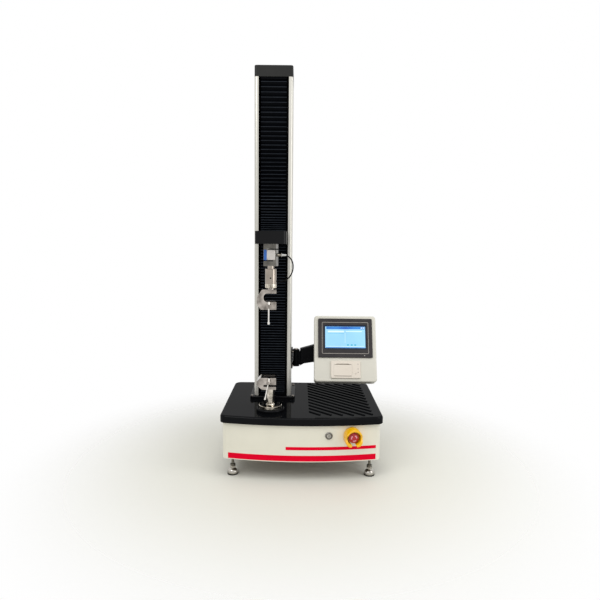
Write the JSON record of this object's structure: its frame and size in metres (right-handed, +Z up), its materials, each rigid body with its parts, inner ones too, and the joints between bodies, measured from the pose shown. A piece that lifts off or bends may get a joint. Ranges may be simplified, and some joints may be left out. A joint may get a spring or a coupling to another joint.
{
  "type": "universal testing machine",
  "caption": "Single-column bench machine that pulls a specimen between two screw grips: box base, column with a travelling crosshead, load cell and swing-out display.",
  "frame": {"origin": "centre of the machine's outline seen from above, on the surface its feet stand on", "axes": "+Z up, the front faces -Y, +X is to the right seen from the front"},
  "size_m": [0.556, 0.5074, 1.428],
  "materials": {
    "cream_paint": "satin",
    "black_gloss": "gloss",
    "black_plastic": "matte",
    "black_paint": "satin",
    "anodised": "satin",
    "steel": "brushed",
    "jaw_steel": "ground",
    "chrome": "polished",
    "cell_metal": "satin",
    "bellows_cloth": "matte",
    "lead_jacket": "matte",
    "gland_metal": "nickel plated",
    "motor_paint": "satin",
    "belt_rubber": "matte",
    "panel_plastic": "satin",
    "screen": "gloss",
    "printer_plastic": "satin",
    "paper": "matte",
    "guard_yellow": "gloss",
    "stop_red": "gloss"
  },
  "bodies": {
    "machine": {"base_frame": "steel", "base_housing": "cream_paint", "top_cover": "black_gloss", "foot_pads": "chrome", "foot_studs": "steel", "foot_locknuts": "steel", "load_table": "steel", "column": "anodised", "column_collar": "black_paint", "top_cap": "black_plastic", "top_bearing_plate": "steel", "guide_rails": "steel", "lower_bearing_block": "steel", "drive_motor": "motor_paint", "timing_belt": "belt_rubber", "servo_drive": "motor_paint", "power_inlet": "black_plastic", "bellows_upper": "bellows_cloth", "bellows_lower": "bellows_cloth", "lower_adapter": "steel", "lower_grip_frame": "steel", "lower_rear_jaw": "jaw_steel", "arm_bracket": "black_paint", "arm_pin": "steel", "estop_guard": "guard_yellow", "estop_body": "black_plastic", "key_switch_bezel": "chrome"},
    "screw_shaft": {"ball_screw": "steel", "screw_pulley": "steel"},
    "motor_shaft": {"motor_pulley": "steel"},
    "carriage": {"crosshead": "black_paint", "ball_nut": "steel", "linear_blocks": "steel", "load_cell": "cell_metal", "lead_glands": "gland_metal", "load_cell_lead": "lead_jacket", "grip_adapter": "steel", "locking_ring": "steel", "upper_grip_frame": "steel", "upper_rear_jaw": "jaw_steel"},
    "upper_jaw": {"upper_front_jaw": "jaw_steel"},
    "upper_screw": {"upper_grip_screw": "steel"},
    "upper_bar": {"upper_tommy_bar": "steel"},
    "lower_jaw": {"lower_front_jaw": "jaw_steel"},
    "lower_screw": {"lower_grip_screw": "steel"},
    "lower_bar": {"lower_tommy_bar": "steel"},
    "arm": {"display_arm": "black_paint", "tilt_pin": "steel"},
    "display": {"display_housing": "cream_paint", "display_back": "cream_paint", "hmi_bezel": "panel_plastic", "hmi_screen": "screen", "printer_frame": "printer_plastic"},
    "paper_door": {"printer_door": "printer_plastic"},
    "paper": {"paper_roll": "paper"},
    "feed_key": {"feed_button": "printer_plastic"},
    "stop_stem": {"estop_plunger": "steel"},
    "stop_cap": {"estop_head": "stop_red"},
    "key_core": {"key_barrel": "chrome"},
    "rocker": {"power_switch": "black_plastic"}
  },
  "joints": [
    {"name": "crosshead_slide", "type": "slide", "parent": "machine", "child": "carriage", "axis": [0, 0, 1], "range_m": [-0.13, 0.46], "deforming": ["bellows_upper", "bellows_lower"]},
    {"name": "screw_spin", "type": "hinge", "parent": "machine", "child": "screw_shaft", "pos_m": [-0.109, 0.07168, 0.24], "axis": [0, 0, 1], "continuous": true},
    {"name": "motor_spin", "type": "hinge", "parent": "machine", "child": "motor_shaft", "pos_m": [-0.004, 0.07168, 0.165], "axis": [0, 0, 1], "continuous": true},
    {"name": "upper_jaw_slide", "type": "slide", "parent": "carriage", "child": "upper_jaw", "axis": [0, 1, 0], "range_m": [-0.0015, 0.006]},
    {"name": "upper_screw_spin", "type": "hinge", "parent": "upper_jaw", "child": "upper_screw", "pos_m": [-0.1135, -0.16, 0.593], "axis": [0, 1, 0], "range_deg": [-360, 1440]},
    {"name": "upper_bar_slide", "type": "slide", "parent": "upper_screw", "child": "upper_bar", "axis": [0, 0, 1], "range_m": [0, 0.0455]},
    {"name": "lower_jaw_slide", "type": "slide", "parent": "machine", "child": "lower_jaw", "axis": [0, 1, 0], "range_m": [-0.0015, 0.006]},
    {"name": "lower_screw_spin", "type": "hinge", "parent": "lower_jaw", "child": "lower_screw", "pos_m": [-0.1135, -0.16, 0.333], "axis": [0, 1, 0], "range_deg": [-360, 1440]},
    {"name": "lower_bar_slide", "type": "slide", "parent": "lower_screw", "child": "lower_bar", "axis": [0.1908, 0, 0.9816], "range_m": [0, 0.0455]},
    {"name": "arm_swing", "type": "hinge", "parent": "machine", "child": "arm", "pos_m": [-0.02195, 0.06156, 0.37], "axis": [0, 0, 1], "range_deg": [-30, 45]},
    {"name": "display_tilt", "type": "hinge", "parent": "arm", "child": "display", "pos_m": [0.1595, 0.06156, 0.39103], "axis": [1, 0, 0], "range_deg": [-12, 22]},
    {"name": "printer_door_swing", "type": "hinge", "parent": "display", "child": "paper_door", "pos_m": [0.1495, -0.05852, 0.33008], "axis": [1, 0, 0], "range_deg": [0, 90]},
    {"name": "paper_roll_spin", "type": "hinge", "parent": "display", "child": "paper", "pos_m": [0.1495, -0.02979, 0.33389], "axis": [1, 0, 0], "continuous": true},
    {"name": "feed_button_press", "type": "slide", "parent": "display", "child": "feed_key", "axis": [0, 0.9272, -0.3746], "range_m": [0, 0.0008], "stiffness_N_per_m": 300},
    {"name": "estop_push", "type": "slide", "parent": "machine", "child": "stop_stem", "axis": [-0.1382, 0.9904, 0], "range_m": [0, 0.006]},
    {"name": "estop_twist", "type": "hinge", "parent": "stop_stem", "child": "stop_cap", "pos_m": [0.17, -0.21052, 0.162], "axis": [-0.1382, 0.9904, 0], "range_deg": [0, 35], "stiffness_Nm_per_rad": 0.05},
    {"name": "key_turn", "type": "hinge", "parent": "machine", "child": "key_core", "pos_m": [0.092, -0.21888, 0.162], "axis": [0.0748, -0.9972, 0], "range_deg": [0, 90]},
    {"name": "power_switch_rock", "type": "hinge", "parent": "machine", "child": "rocker", "pos_m": [0.1, 0.24568, 0.112], "axis": [1, 0, 0], "range_deg": [0, 18]}
  ],
  "couplings": [
    {"joint": "screw_spin", "follows": "crosshead_slide", "rad_per_m": -628.32},
    {"joint": "motor_spin", "follows": "crosshead_slide", "rad_per_m": -1256.6},
    {"joint": "upper_screw_spin", "follows": "upper_jaw_slide", "rad_per_m": 4188.8},
    {"joint": "lower_screw_spin", "follows": "lower_jaw_slide", "rad_per_m": 4188.8}
  ]
}
